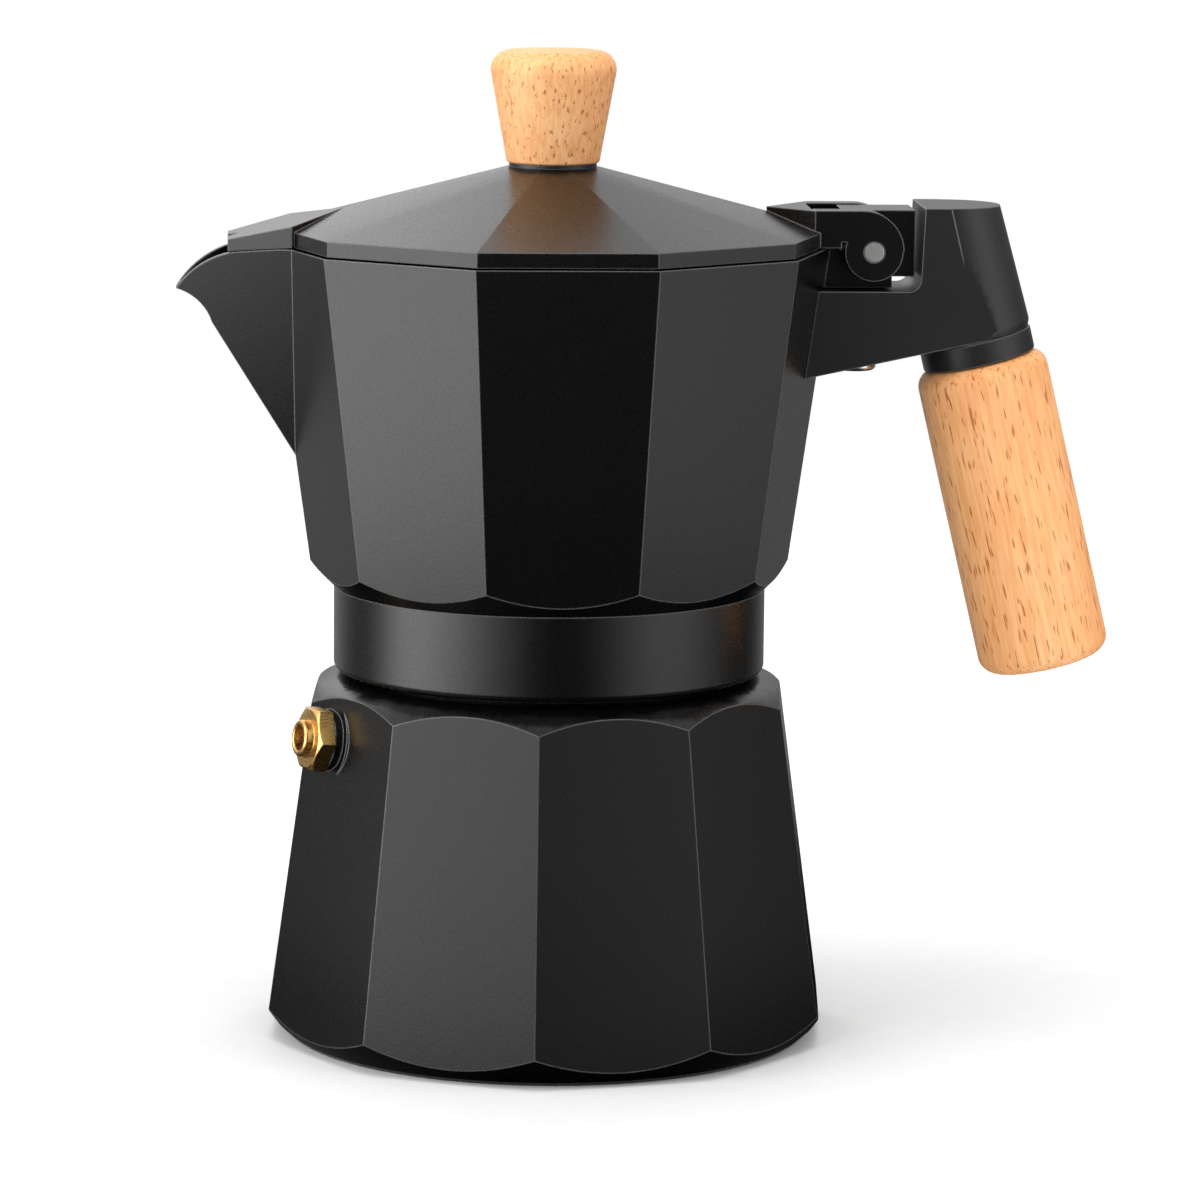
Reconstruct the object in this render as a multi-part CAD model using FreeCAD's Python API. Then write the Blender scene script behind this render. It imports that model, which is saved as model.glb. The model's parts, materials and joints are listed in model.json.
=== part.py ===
import FreeCAD, Part
import math
import os

# Stovetop coffee maker: a ten-sided boiler, a screwed-on ten-sided collector with a
# spout and a side handle, and a hinged lid. Millimetres, +Z up. The origin is the
# centre of the boiler's foot. The handle points to +X and the spout to -X.

# --- Driving sizes -----------------------------------------------------------

SIDES = 10
HALF_STEP = 180.0 / SIDES

# Fits and clearances
seat_gap = 0.05            # between pieces that rest on each other
fit_gap = 0.02             # around a pressed or screwed piece
running_gap = 0.05         # around a pin that something turns on
moving_gap = 0.25          # between faces that swing or lift apart

# Boiler
boiler_base_radius = 47.12     # corner radius of the ten-sided body at the bench
boiler_taper = 0.14            # corner radius lost per millimetre of height
boiler_height = 58.6           # bench to the flat under the neck
boiler_turn = 12.7             # where a corner points when the collector is tight
boiler_wall = 2.8
boiler_floor = 4.0
foot_radius = 42.0
foot_chamfer_height = 5.6
foot_groove_radius = 30.0
foot_groove_width = 1.2
foot_groove_depth = 0.5
shoulder_top_radius = 33.2     # where the turned shoulder meets the flat under the neck
shoulder_facet_height = 57.1   # top of each facet's arc
neck_radius = 30.4
neck_bore_radius = 27.0
neck_height = 11.4

# Thread between boiler and collector
thread_pitch = 3.0
thread_depth = 1.5
thread_width = 1.6
thread_turns = 2.3
thread_start = 2.9             # above the flat under the neck
thread_play = 0.5              # crest to root, on each side

# Safety valve
valve_direction = -158.3       # compass angle of its axis, from +X
valve_tilt = 7.6               # upwards
valve_height = 50.0
valve_stand = 39.5             # from the boiler's axis to the back of the hexagon
valve_across_flats = 9.6
valve_hex_length = 2.8
valve_nose_radius = 2.95
valve_nose_length = 1.5
valve_mouth_radius = 2.0
valve_stem_radius = 4.0
valve_stem_length = 8.0
valve_chamber_radius = 2.5
valve_boss_radius = 6.2
valve_pad_radius = 4.9
poppet_thickness = 1.0
poppet_pin_radius = 0.7
valve_spring_wire = 0.25
valve_spring_coils = 5
valve_seat_thickness = 1.2
valve_seat_hole = 1.3

# Funnel
funnel_sheet = 0.6
funnel_rim_radius = 30.0
funnel_depth = 20.0
funnel_cone_height = 8.0
funnel_play = 1.0              # between the cup and the neck bore
tube_radius = 3.5
tube_wall = 0.6
tube_floor_gap = 4.0           # from the tube's mouth to the boiler's floor
sieve_hole_radius = 0.7
sieve_hole_pitch = 4.0
sieve_rows = 5

# Seal
gasket_thickness = 2.95
gasket_radius = 31.2
gasket_bore_radius = 25.0
sieve_radius = 27.0
sieve_thickness = 0.8

# Collector
chamber_rim_radius = 45.7      # corner radius at the rim
chamber_taper = 0.139
chamber_height = 54.1          # underside of the floor to the rim
chamber_wall = 2.6
chamber_floor = 3.3
chamber_chamfer_start = 0.9    # below the floor's underside, where the turned cone begins
skirt_radius = 34.75
skirt_gap = 0.7                # above the boiler's flat
skirt_edge_round = 1.1
column_height = 34.0
column_base_radius = 6.0
column_top_radius = 4.4
column_bore_radius = 2.75
column_outlet_radius = 2.2
column_cap = 2.6

# Spout
spout_reach = 14.3             # tip beyond the rim's corner
spout_tip_drop = 7.1           # tip below the rim
spout_depth = 34.2             # root of the keel below the rim
spout_half_width = 12.2        # at the rim, where its sides meet the facets
spout_tip_half_width = 2.4
spout_wall = 1.5
beak_reach = 8.6               # start of the beak's curve beyond the rim's corner
beak_drop = 12.5
lip_reach = 5.3                # start of the lip's curve beyond the rim's corner
lip_drop = 0.75

# Hinge
pin_reach = 5.1                # pin beyond the rim's corner
pin_drop = 0.4                 # pin below the rim
pin_radius = 1.6
pin_end_gap = 0.1
tongue_half_width = 5.0
tongue_top = 6.0               # above the rim
tongue_head_length = 6.9       # of its upper part, beyond the pin
tongue_head_drop = 4.2         # of its upper part, below the pin
tongue_length = 3.3            # of its lower part, beyond the pin
tongue_drop = 6.4              # below the rim
lug_side_gap = 0.2
lug_thickness = 3.65
lug_boss_radius = 4.65
lug_corner_radius = 6.5
lug_corner_back = 1.7          # centre of the top corner's arc, in front of the pin
lug_bar_height = 5.0

# Lid
lid_edge_inset = 0.7           # inside the chamber's rim
lid_band_height = 2.4
lid_rise = 9.7                 # from the band to the flat under the knob
lid_sheet = 1.9
lid_flat_radius = 7.5
lid_boss_radius = 5.0
lid_boss_height = 5.6
cover_tip_radius = 33.3        # tip of the raised spout cover, on its ridge
cover_front_radius = 51.8
cover_shoulder_radius = 41.7
cover_shoulder_half_width = 11.8
cover_front_half_width = 7.0
cover_front_height = 1.15      # of its top edge above the rim
cover_sheet = 1.5
cover_notch_radius = 1.6
wedge_tip_radius = 34.3
wedge_shoulder_radius = 41.3
wedge_top = 6.2                # above the rim
wedge_window_start = 41.0

# Knob
knob_washer_radius = 7.0
knob_washer_thickness = 0.7
knob_base_radius = 7.4
knob_top_radius = 10.6
knob_height = 18.0
knob_round = 3.0
knob_insert_radius = 3.0
knob_insert_length = 10.0
knob_screw_radius = 1.95
knob_screw_head_radius = 3.8
knob_screw_head = 1.8

# Handle
grip_tilt = 13.5               # grip axis from the vertical, foot away from the pot
grip_root_reach = 22.5        # top of the collar beyond the rim's corner
grip_root_drop = 14.7         # top of the collar below the rim
grip_radius = 10.6
grip_length = 50.7
grip_round = 2.8
collar_radius = 9.1
collar_length = 3.8
bracket_half_width = 8.8
bracket_top = 6.6              # above the rim
bracket_top_radius = 8.4      # of its rounded back, about the grip axis
bracket_slope = 12.0           # of its underside, rising away from the pot
recess_floor_drop = 6.7        # below the rim
recess_back = 7.5              # behind the pin
recess_back_top = 8.1
recess_round = 2.0
rib_half_width = 3.4           # cast rib inside the bracket
rib_drop = 15.9
rib_length = 2.4               # beyond the pin
rib_play = 0.2
bracket_screw_reach = 3.2      # beyond the rim's corner
bracket_screw_radius = 1.95
bracket_screw_head_radius = 3.4
bracket_screw_head = 2.4
bracket_web = 1.6
bolt_radius = 2.45
bolt_head_radius = 4.4
bolt_head = 3.0
bolt_recess = 6.0
insert_radius = 4.0
insert_length = 12.0
hole_play = 0.25

# --- Heights and radii that follow -------------------------------------------

neck_top = boiler_height + neck_height
funnel_rim_top = neck_top + seat_gap + funnel_sheet
gasket_bottom = funnel_rim_top + seat_gap
gasket_top = gasket_bottom + gasket_thickness
floor_under = gasket_top + 2 * seat_gap
floor_top = floor_under + chamber_floor
rim = floor_under + chamber_height
skirt_bottom = boiler_height + skirt_gap
crest_radius = neck_radius + thread_depth
root_radius = crest_radius + 1.6 * thread_play
pin_x = chamber_rim_radius + pin_reach
pin_z = rim - pin_drop
lid_bottom = rim + moving_gap
lid_band_top = lid_bottom + lid_band_height
lid_top = lid_band_top + lid_rise
lug_outer = tongue_half_width + lug_side_gap + lug_thickness
knob_bottom = lid_top + knob_washer_thickness
FAR = 200.0


# --- Small tools ---------------------------------------------------------------

def vec(x, y, z):
    return FreeCAD.Vector(x, y, z)


def boiler_radius(z):
    return boiler_base_radius - boiler_taper * z


def chamber_radius(z):
    return chamber_rim_radius - chamber_taper * (rim - z)


def ten_sided(radius, z, turn=0.0):
    """A closed ten-sided wire at height z, with one corner at the angle turn."""
    corners = []
    for side in range(SIDES + 1):
        angle = math.radians(turn + 2 * HALF_STEP * side)
        corners.append(vec(radius * math.cos(angle), radius * math.sin(angle), z))
    return Part.makePolygon(corners)


def ten_sided_block(low_radius, low, high_radius, high, turn=0.0):
    wires = [ten_sided(low_radius, low, turn), ten_sided(high_radius, high, turn)]
    return Part.makeLoft(wires, True, True)


def outline(points):
    """A closed face in the XZ plane. A third number rounds that corner."""
    corners = [vec(p[0], 0, p[1]) for p in points]
    rounds = [p[2] if len(p) > 2 else 0.0 for p in points]
    count = len(corners)
    starts, ends, arcs = [], [], []
    for i in range(count):
        corner = corners[i]
        if rounds[i] == 0.0:
            starts.append(corner)
            ends.append(corner)
            arcs.append(None)
            continue
        before = (corners[i - 1] - corner).normalize()
        after = (corners[(i + 1) % count] - corner).normalize()
        half = before.getAngle(after) / 2
        reach = rounds[i] / math.tan(half)
        middle = (before + after).normalize()
        centre = corner + middle * (rounds[i] / math.sin(half))
        first = corner + before * reach
        last = corner + after * reach
        arcs.append(Part.Arc(first, centre - middle * rounds[i], last).toShape())
        starts.append(first)
        ends.append(last)
    edges = []
    for i in range(count):
        if arcs[i] is not None:
            edges.append(arcs[i])
        following = starts[(i + 1) % count]
        if (following - ends[i]).Length > 1e-6:
            edges.append(Part.LineSegment(ends[i], following).toShape())
    return Part.Face(Part.Wire(edges))


def turned(points):
    """Revolve an outline of (radius, height) corners about the Z axis."""
    return outline(points).revolve(vec(0, 0, 0), vec(0, 0, 1), 360)


def slab(points, half_width):
    """An outline in the XZ plane, made solid from -half_width to +half_width along Y."""
    face = outline(points)
    face.translate(vec(0, -half_width, 0))
    return face.extrude(vec(0, 2 * half_width, 0))


def plan_block(points, low, high):
    """A plan outline of (x, y) corners, made solid from low to high."""
    corners = [vec(x, y, low) for x, y in points]
    face = Part.Face(Part.makePolygon(corners + corners[:1]))
    return face.extrude(vec(0, 0, high - low))


def rod(radius, low, high, x=0.0, y=0.0):
    return Part.makeCylinder(radius, high - low, vec(x, y, low))


def cross_rod(radius, half_length, x, z):
    """A cylinder along Y, centred on the XZ plane."""
    return Part.makeCylinder(radius, 2 * half_length, vec(x, -half_length, z), vec(0, 1, 0))


def block(x0, x1, half_width, z0, z1):
    return Part.makeBox(x1 - x0, 2 * half_width, z1 - z0, vec(x0, -half_width, z0))


def thread_ridge(base_radius, crest, start, turns):
    """A helical ridge from base_radius to crest, outwards or inwards."""
    helix = Part.makeHelix(thread_pitch, thread_pitch * turns, base_radius)
    base_half = thread_width / 2
    crest_half = thread_width / 4
    corners = [
        vec(base_radius, 0, -base_half),
        vec(crest, 0, -crest_half),
        vec(crest, 0, crest_half),
        vec(base_radius, 0, base_half),
    ]
    profile = Part.makePolygon(corners + corners[:1])
    ridge = Part.Wire(helix).makePipeShell([profile], True, True)
    ridge.translate(vec(0, 0, start))
    return ridge


def on_valve_axis(shape):
    """Move a shape built along +Z from the hexagon's back to its place in the wall."""
    shape = shape.copy()
    turn = FreeCAD.Rotation(vec(0, 0, 1), valve_direction)
    tip = FreeCAD.Rotation(vec(0, 1, 0), 90 - valve_tilt)
    angle = math.radians(valve_direction)
    spot = vec(valve_stand * math.cos(angle), valve_stand * math.sin(angle), valve_height)
    shape.Placement = FreeCAD.Placement(spot, turn * tip).multiply(shape.Placement)
    return shape


def on_grip_axis(shape):
    """Move a shape built about +Z from the collar's top to its place on the handle."""
    shape = shape.copy()
    spot = vec(chamber_rim_radius + grip_root_reach, 0, rim - grip_root_drop)
    lean = FreeCAD.Rotation(vec(0, 1, 0), -grip_tilt)
    shape.Placement = FreeCAD.Placement(spot, lean).multiply(shape.Placement)
    return shape


def sieve_holes(low, high, limit):
    """Rings of small holes: six in the first ring, six more in each next one."""
    holes = [rod(sieve_hole_radius, low, high)]
    for ring in range(1, sieve_rows + 1):
        radius = ring * sieve_hole_pitch
        if radius + 2 * sieve_hole_radius > limit:
            break
        for step in range(6 * ring):
            angle = math.radians(60.0 * step / ring)
            spot_x = radius * math.cos(angle)
            spot_y = radius * math.sin(angle)
            holes.append(rod(sieve_hole_radius, low, high, spot_x, spot_y))
    return Part.makeCompound(holes)


# --- Boiler ------------------------------------------------------------------------

def make_boiler():
    facet = math.cos(math.radians(HALF_STEP))
    facet_top = facet * boiler_radius(shoulder_facet_height)
    cone_reach = boiler_radius(0) + 2
    cone_drop = cone_reach - facet_top
    envelope = turned([
        (0, 0),
        (foot_radius, 0),
        (foot_radius + 0.4 * foot_chamfer_height, 0.36 * foot_chamfer_height),
        (boiler_radius(foot_chamfer_height) + 0.5, foot_chamfer_height),
        (cone_reach, foot_chamfer_height + 1),
        (cone_reach, shoulder_facet_height - cone_drop),
        (facet_top, shoulder_facet_height),
        (shoulder_top_radius, boiler_height),
        (0, boiler_height),
    ])
    body = ten_sided_block(
        boiler_radius(0), 0, boiler_radius(boiler_height), boiler_height, boiler_turn
    ).common(envelope)
    body = body.fuse(rod(neck_radius, boiler_floor, neck_top))
    inside_low = facet * boiler_radius(boiler_floor) - boiler_wall
    ceiling = boiler_height - boiler_wall - 3.0
    inside_high = facet * boiler_radius(ceiling) - boiler_wall
    pad = on_valve_axis(rod(valve_pad_radius, -boiler_wall, 0))
    boss = on_valve_axis(rod(valve_boss_radius, 1.0 - valve_stem_length, -boiler_wall / 2))
    space = turned([
        (0, boiler_floor),
        (inside_low, boiler_floor, 3.0),
        (inside_high, ceiling),
        (neck_bore_radius, boiler_height - boiler_wall + 0.4),
        (neck_bore_radius, neck_top),
        (0, neck_top),
    ])
    body = body.cut(space).fuse([pad, boss])
    ridge = thread_ridge(neck_radius - 0.2, crest_radius, boiler_height + thread_start, thread_turns)
    body = body.fuse(ridge)
    stem_hole = on_valve_axis(rod(valve_stem_radius + fit_gap, -2 * valve_stem_length, 1))
    groove = rod(foot_groove_radius + foot_groove_width, 0, foot_groove_depth)
    groove = groove.cut(rod(foot_groove_radius, 0, foot_groove_depth))
    return body.cut([stem_hole, groove])


# --- Safety valve ---------------------------------------------------------------------

def make_safety_valve_body():
    corner = valve_across_flats / 2 / math.cos(math.radians(30))
    corners = [
        vec(corner * math.cos(math.radians(60 * n + 90)),
            corner * math.sin(math.radians(60 * n + 90)), 0)
        for n in range(7)
    ]
    hexagon = Part.Face(Part.makePolygon(corners)).extrude(vec(0, 0, valve_hex_length))
    chamfer = turned([
        (0, 0),
        (corner + 0.1, 0),
        (corner + 0.1, valve_hex_length - 0.55),
        (corner - 0.95, valve_hex_length),
        (0, valve_hex_length),
    ])
    nose_end = valve_hex_length + valve_nose_length
    nose = turned([
        (0, 0),
        (valve_nose_radius, 0),
        (valve_nose_radius, nose_end, 0.5),
        (valve_mouth_radius, nose_end, 0.3),
        (valve_mouth_radius, nose_end - 1.0),
        (0, nose_end - 1.0),
    ])
    stem = rod(valve_stem_radius, -valve_stem_length, 0)
    mouth = rod(valve_mouth_radius, -valve_stem_length, nose_end)
    chamber = rod(valve_chamber_radius, -valve_stem_length, 1.0)
    body = hexagon.common(chamfer).fuse([nose, stem]).cut([mouth, chamber])
    return on_valve_axis(body)


def make_safety_valve_seat():
    low = -valve_stem_length
    ring = rod(valve_chamber_radius - fit_gap, low, low + valve_seat_thickness)
    return on_valve_axis(ring.cut(rod(valve_seat_hole, low, low + valve_seat_thickness)))


def make_safety_valve_poppet():
    low = valve_seat_thickness - valve_stem_length + seat_gap
    disc = rod(valve_chamber_radius - running_gap, low, low + poppet_thickness)
    pin = rod(poppet_pin_radius, low, valve_hex_length)
    return on_valve_axis(disc.fuse(pin))


def make_safety_valve_spring():
    low = valve_seat_thickness - valve_stem_length + poppet_thickness + 2 * seat_gap
    low += valve_spring_wire
    high = 1.0 - seat_gap - valve_spring_wire
    radius = (valve_chamber_radius + poppet_pin_radius) / 2
    helix = Part.makeHelix((high - low) / valve_spring_coils, high - low, radius)
    corners = []
    for n in range(9):
        angle = math.radians(45 * n)
        corners.append(vec(radius + valve_spring_wire * math.cos(angle), 0,
                           valve_spring_wire * math.sin(angle)))
    coil = Part.Wire(helix).makePipeShell([Part.makePolygon(corners)], True, True)
    coil.translate(vec(0, 0, low))
    return on_valve_axis(coil)


# --- Funnel ---------------------------------------------------------------------------

def make_funnel_basket():
    top = funnel_rim_top
    outer = neck_bore_radius - funnel_play
    inner = outer - funnel_sheet
    cup_bottom = top - funnel_depth
    cone_bottom = cup_bottom - funnel_cone_height
    collar = tube_radius + fit_gap
    return turned([
        (inner, top),
        (inner, cup_bottom),
        (collar, cone_bottom + funnel_sheet),
        (collar, cone_bottom - 4),
        (collar + funnel_sheet, cone_bottom - 4),
        (collar + funnel_sheet, cone_bottom),
        (outer, cup_bottom - funnel_sheet / 2),
        (outer, top - funnel_sheet),
        (funnel_rim_radius, top - funnel_sheet),
        (funnel_rim_radius, top),
    ])


def make_funnel_tube():
    low = boiler_floor + tube_floor_gap
    high = funnel_rim_top - funnel_depth - funnel_cone_height + funnel_sheet
    return rod(tube_radius, low, high).cut(rod(tube_radius - tube_wall, low, high))


def make_funnel_plate():
    low = funnel_rim_top - funnel_depth + seat_gap
    radius = neck_bore_radius - funnel_play - funnel_sheet - seat_gap
    plate = rod(radius, low, low + sieve_thickness)
    return plate.cut(sieve_holes(low, low + sieve_thickness, radius))


# --- Seal -----------------------------------------------------------------------------

def make_gasket():
    rebate = gasket_top - sieve_thickness - seat_gap
    return turned([
        (gasket_bore_radius, gasket_bottom),
        (gasket_radius, gasket_bottom),
        (gasket_radius, gasket_top),
        (sieve_radius + seat_gap, gasket_top),
        (sieve_radius + seat_gap, rebate),
        (gasket_bore_radius, rebate),
    ])


def make_filter_plate():
    low = gasket_top - sieve_thickness
    plate = rod(sieve_radius, low, gasket_top)
    return plate.cut(sieve_holes(low, gasket_top, gasket_bore_radius))


# --- Collector ------------------------------------------------------------------------

def chamber_outside(growth=0.0):
    """The ten-sided chamber as a full block, its bottom edge turned to a cone."""
    start = floor_under - chamber_chamfer_start
    low = chamber_radius(start) + growth
    high = chamber_radius(rim) + growth
    block_shape = ten_sided_block(low, start, high, rim)
    reach = chamber_rim_radius + 3 - skirt_radius
    cone = turned([
        (0, start),
        (skirt_radius + growth, start),
        (skirt_radius + reach + growth, start + reach),
        (skirt_radius + reach + growth, rim),
        (0, rim),
    ])
    return block_shape.common(cone)


def chamber_inside():
    inset = chamber_wall / math.cos(math.radians(HALF_STEP))
    low = chamber_radius(floor_top) - inset
    high = chamber_radius(rim + 1) - inset
    return ten_sided_block(low, floor_top, high, rim + 1)


def spout_corner():
    """Where the spout's side meets the chamber's facet at the rim."""
    half = math.radians(HALF_STEP)
    back = spout_half_width * math.tan(half)
    return vec(-chamber_rim_radius + back, spout_half_width, rim)


def spout_tip():
    return vec(-chamber_rim_radius - spout_reach, 0, rim - spout_tip_drop)


def spout_root():
    root = rim - spout_depth
    return vec(-chamber_radius(root), 0, root)


def spout_wedge(inset):
    """The two flat sides of the spout as a wedge, each moved inwards by inset."""
    corner = spout_corner()
    tip = spout_tip() + vec(0, spout_tip_half_width, 0)
    normal = (spout_root() - corner).cross(tip - corner).normalize()

    def half_width(x, z):
        travel = normal.x * (x - corner.x) + normal.z * (z - corner.z)
        return corner.y - (travel + inset) / normal.y

    back = -chamber_rim_radius / 2
    wires = []
    for level in (rim - spout_depth - 6, rim + 4):
        base = half_width(back, level)
        edge = back + normal.y * base / normal.x
        corners = [vec(edge, 0, level), vec(back, base, level), vec(back, -base, level)]
        wires.append(Part.makePolygon(corners + corners[:1]))
    return Part.makeLoft(wires, True, True)


def spout_side_wire(points):
    """Straight and curved edges through the side view's points, closed at the back."""
    edges = []
    for kind, *corners in points:
        if kind == "arc":
            edges.append(Part.Arc(*corners).toShape())
        else:
            edges.append(Part.LineSegment(*corners).toShape())
    face = Part.Face(Part.Wire(edges))
    face.translate(vec(0, -2 * spout_half_width, 0))
    return face.extrude(vec(0, 4 * spout_half_width, 0))


def spout_outside():
    root = spout_root()
    tip = spout_tip()
    corner = -chamber_rim_radius
    beak = vec(corner - beak_reach, 0, rim - beak_drop)
    bend = vec(tip.x + 0.46 * (beak.x - tip.x), 0, tip.z - 0.22 * (tip.z - beak.z))
    lip = vec(corner - lip_reach, 0, rim - lip_drop)
    brow = vec(tip.x + 0.32 * (lip.x - tip.x), 0, tip.z + 0.52 * (lip.z - tip.z))
    edge = vec(corner + 2, 0, rim)
    inner_top = vec(corner / 2 - 12, 0, rim)
    inner_low = vec(corner / 2 - 12, 0, root.z)
    sides = spout_side_wire([
        ("line", inner_low, root),
        ("line", root, beak),
        ("arc", beak, bend, tip),
        ("arc", tip, brow, lip),
        ("line", lip, edge),
        ("line", edge, inner_top),
        ("line", inner_top, inner_low),
    ])
    return spout_wedge(0.0).common(sides)


def spout_channel():
    """The open channel: the outside moved inwards, and open at the top and the tip."""
    root = spout_root()
    tip = spout_tip()
    corner = -chamber_rim_radius
    keel = (vec(corner - beak_reach, 0, rim - beak_drop) - root).normalize()
    inwards = vec(-keel.z, 0, keel.x) * -spout_wall
    start = root + inwards + keel * 2
    beak = vec(corner - beak_reach, 0, rim - beak_drop) + inwards + keel * 1.5
    mouth = tip + vec(0, 0, 1.1)
    bend = vec(mouth.x + 0.46 * (beak.x - mouth.x), 0, mouth.z - 0.22 * (mouth.z - beak.z))
    above = vec(tip.x - 3, 0, mouth.z)
    inner_top = vec(corner / 2 - 12, 0, rim + 3)
    sides = spout_side_wire([
        ("line", start, beak),
        ("arc", beak, bend, mouth),
        ("line", mouth, above),
        ("line", above, vec(above.x, 0, rim + 3)),
        ("line", vec(above.x, 0, rim + 3), inner_top),
        ("line", inner_top, vec(inner_top.x, 0, start.z)),
        ("line", vec(inner_top.x, 0, start.z), start),
    ])
    return spout_wedge(spout_wall).common(sides)


def make_collector():
    skirt = turned([
        (0, skirt_bottom),
        (skirt_radius, skirt_bottom, skirt_edge_round),
        (skirt_radius, floor_under - chamber_chamfer_start + 0.5),
        (0, floor_under - chamber_chamfer_start + 0.5),
    ])
    tongue = block(chamber_rim_radius - 4, chamber_rim_radius, tongue_half_width,
                   rim - tongue_drop, rim)
    tongue = tongue.fuse(block(chamber_rim_radius + 0.3, pin_x + tongue_length,
                               tongue_half_width, rim - tongue_drop, rim + tongue_top))
    tongue = tongue.fuse(block(pin_x, pin_x + tongue_head_length,
                               tongue_half_width, pin_z - tongue_head_drop,
                               rim + tongue_top))
    tongue = tongue.fuse(block(chamber_rim_radius - 1, chamber_rim_radius + 1,
                               tongue_half_width, rim - tongue_drop, rim - 0.3))
    rib = block(chamber_rim_radius - 4, pin_x + rib_length, rib_half_width,
                rim - rib_drop, rim - tongue_drop)
    body = chamber_outside().fuse([skirt, spout_outside(), tongue, rib])
    inside = chamber_inside()
    column = turned([
        (0, floor_top - 1),
        (column_base_radius + 3, floor_top - 1),
        (column_base_radius, floor_top + 2),
        (column_top_radius, floor_top + column_height, 1.5),
        (0, floor_top + column_height),
    ])
    body = body.cut([inside, spout_channel()]).fuse(column)
    thread_room = rod(root_radius, skirt_bottom, gasket_bottom)
    gasket_room = rod(gasket_radius + 2 * seat_gap, skirt_bottom, floor_under)
    funnel_roof = turned([
        (0, floor_under - 1),
        (gasket_bore_radius, floor_under - 1),
        (gasket_bore_radius, floor_under),
        (column_bore_radius, floor_under + 1.0),
        (0, floor_under + 1.0),
    ])
    outlet_height = floor_top + column_height - column_cap - column_outlet_radius
    bore = rod(column_bore_radius, floor_under, outlet_height)
    outlet = cross_rod(column_outlet_radius, column_base_radius + 1, 0, outlet_height)
    pin_hole = cross_rod(pin_radius + fit_gap, FAR, pin_x, pin_z)
    screw_hole = rod(bracket_screw_radius + fit_gap, rim - rib_drop - 1, rim - tongue_drop - 1,
                     chamber_rim_radius + bracket_screw_reach)
    body = body.cut([thread_room, gasket_room, funnel_roof, bore, outlet, pin_hole, screw_hole])
    start = boiler_height + thread_start + thread_pitch / 2
    ridge = thread_ridge(root_radius + 0.2, neck_radius + thread_play, start, thread_turns - 0.4)
    return body.fuse(ridge)


# --- Lid --------------------------------------------------------------------------------

def lid_underside(x):
    """Height of the raised parts' lower edge over the spout."""
    return lid_bottom - 0.1 * max(0.0, -x - cover_shoulder_radius)


def cover_shape(inset):
    """The raised spout cover, or its hollow when inset is its sheet."""
    tip = -cover_tip_radius - 1.6 * inset
    shoulder = -cover_shoulder_radius - 0.3 * inset
    front = -cover_front_radius - (4.0 if inset else 0.0)
    side = cover_shoulder_half_width - inset
    edge = cover_front_half_width - inset
    plan = plan_block(
        [(tip, 0), (shoulder, side), (front, edge), (front, -edge), (shoulder, -side)],
        rim - 3, rim + 12)
    tip_top = lid_band_top + (chamber_rim_radius - lid_edge_inset - cover_tip_radius) * (
        lid_rise / (chamber_rim_radius - lid_edge_inset - lid_flat_radius))
    front_top = rim + cover_front_height
    fall = (tip_top - front_top) / (cover_front_radius - cover_tip_radius)
    reach = -cover_front_radius - 5

    def top(x):
        return tip_top - fall * (-x - cover_tip_radius) - inset

    low = -2.0 if inset else 0.0
    return plan.common(slab([
        (0, lid_bottom + low),
        (0, top(0)),
        (reach, top(reach)),
        (reach, lid_underside(reach) + low),
        (-cover_shoulder_radius, lid_bottom + low),
    ], 20))


def lug_side():
    """Side view of one hinge lug: a bar, its rounded top corner and the boss at the pin."""
    top = rim + wedge_top
    centre_x = pin_x - lug_corner_back
    centre_z = top - lug_corner_radius
    corner = cross_rod(lug_corner_radius, lug_outer, centre_x, centre_z)
    corner = corner.common(block(centre_x, pin_x + 10, lug_outer, centre_z, top + 1))
    bar = block(wedge_shoulder_radius, centre_x, lug_outer, top - lug_bar_height, top)
    boss = cross_rod(lug_boss_radius, lug_outer, pin_x, pin_z)
    fill = block(centre_x, pin_x + lug_boss_radius - 0.2, lug_outer, pin_z - 0.5, centre_z + 1)
    return bar.fuse([corner, boss, fill])


def make_lid():
    edge = chamber_rim_radius - lid_edge_inset
    band = ten_sided_block(edge, lid_bottom, edge, lid_band_top)
    roof = ten_sided_block(edge, lid_band_top, lid_flat_radius, lid_top)
    hollow_edge = edge - chamber_wall
    hollow_low = ten_sided_block(hollow_edge, lid_bottom - 1, hollow_edge, lid_band_top - 1.2)
    hollow_roof = ten_sided_block(hollow_edge, lid_band_top - 1.2,
                                  lid_flat_radius - 1.5, lid_top - lid_sheet - 0.3)
    boss = rod(lid_boss_radius, lid_top - lid_boss_height, lid_top - 1)
    wedge = plan_block([
        (wedge_tip_radius, 0),
        (wedge_shoulder_radius, -lug_outer),
        (edge + 0.6, -lug_outer),
        (edge + 0.6, lug_outer),
        (wedge_shoulder_radius, lug_outer),
    ], lid_bottom, rim + wedge_top)
    wedge = wedge.common(slab([
        (0, lid_bottom + 1.2),
        (wedge_shoulder_radius, lid_bottom),
        (edge + 0.6, lid_bottom),
        (edge + 0.6, rim + wedge_top),
        (wedge_tip_radius, rim + wedge_top - 0.1),
        (0, rim + wedge_top - 0.1),
    ], 20))
    body = band.fuse([roof, cover_shape(0.0), wedge, lug_side()])
    hollow = hollow_low.fuse(hollow_roof).cut(boss)
    window = block(wedge_window_start, FAR, tongue_half_width + lug_side_gap, lid_bottom - 20, FAR)
    notch = cross_notch()
    pin_hole = cross_rod(pin_radius + running_gap, FAR, pin_x, pin_z)
    screw_hole = rod(knob_screw_radius + fit_gap, rim, lid_top + 1)
    body = body.cut([hollow, cover_shape(cover_sheet), window, notch, pin_hole, screw_hole])
    return body.fuse(boss.cut(screw_hole))


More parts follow.
